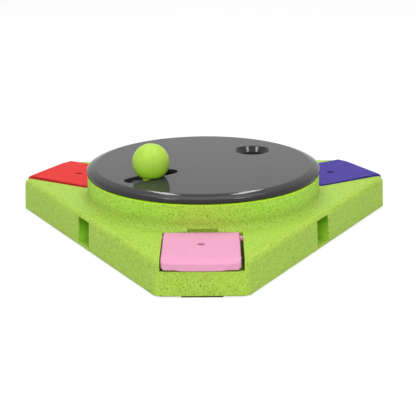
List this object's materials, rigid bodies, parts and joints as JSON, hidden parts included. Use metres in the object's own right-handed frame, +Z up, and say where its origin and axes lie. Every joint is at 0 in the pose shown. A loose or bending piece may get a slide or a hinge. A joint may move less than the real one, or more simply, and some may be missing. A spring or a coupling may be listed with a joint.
{
  "type": "dog puzzle toy",
  "caption": "Three-cornered dog puzzle board with a spinning disc, a ball knob that slides in a slot, lift-up corner flaps over treat wells and side outlets.",
  "frame": {"origin": "on the disc's spin axis, at the floor, on the underside of the pad under the pivot", "axes": "+Z up along the spin axis; the front flap faces -Y; +X to the right seen from the front"},
  "size_m": [0.3136, 0.2734, 0.0804],
  "materials": {
    "base_plastic": "satin, speckled",
    "cover_plastic": "matte, speckled",
    "tray_plastic": "satin",
    "disc_plastic": "polished",
    "bearing_plastic": "natural",
    "knob_plastic": "satin",
    "pink_plastic": "satin",
    "red_plastic": "satin",
    "blue_plastic": "satin",
    "rubber_strip": "matte",
    "steel": "zinc plated"
  },
  "bodies": {
    "base": {"base_shell": "base_plastic", "drum_ring": "base_plastic", "front_well": "base_plastic", "left_well": "base_plastic", "right_well": "base_plastic", "bottom_cover": "cover_plastic", "treat_tray": "tray_plastic", "back_chute": "base_plastic", "left_chute": "base_plastic", "right_chute": "base_plastic", "front_foot": "rubber_strip", "left_foot": "rubber_strip", "right_foot": "rubber_strip", "cover_screws": "steel", "tray_screws": "steel"},
    "disc": {"spinner_disc": "disc_plastic", "disc_bearing_ring": "bearing_plastic", "pivot_washer": "steel", "pivot_screw": "steel"},
    "knob": {"ball_knob": "knob_plastic", "slider_shoe": "tray_plastic", "slider_screw": "steel"},
    "front_lid": {"front_flap": "pink_plastic"},
    "left_lid": {"left_flap": "red_plastic"},
    "right_lid": {"right_flap": "blue_plastic"}
  },
  "joints": [
    {"name": "disc_spin", "type": "hinge", "parent": "base", "child": "disc", "pos_m": [0, 0, 0.05], "axis": [0, 0, 1], "continuous": true},
    {"name": "ball_slide", "type": "slide", "parent": "disc", "child": "knob", "axis": [-0.7373, -0.6756, 0], "range_m": [-0.0186, 0.0186]},
    {"name": "front_flap_hinge", "type": "hinge", "parent": "base", "child": "front_lid", "pos_m": [0, -0.104, 0.0241], "axis": [-1, 0, 0], "range_deg": [0, 97]},
    {"name": "right_flap_hinge", "type": "hinge", "parent": "base", "child": "right_lid", "pos_m": [0.09007, 0.052, 0.0241], "axis": [0.5, -0.866, 0], "range_deg": [0, 97]},
    {"name": "left_flap_hinge", "type": "hinge", "parent": "base", "child": "left_lid", "pos_m": [-0.09007, 0.052, 0.0241], "axis": [0.5, 0.866, 0], "range_deg": [0, 97]}
  ]
}
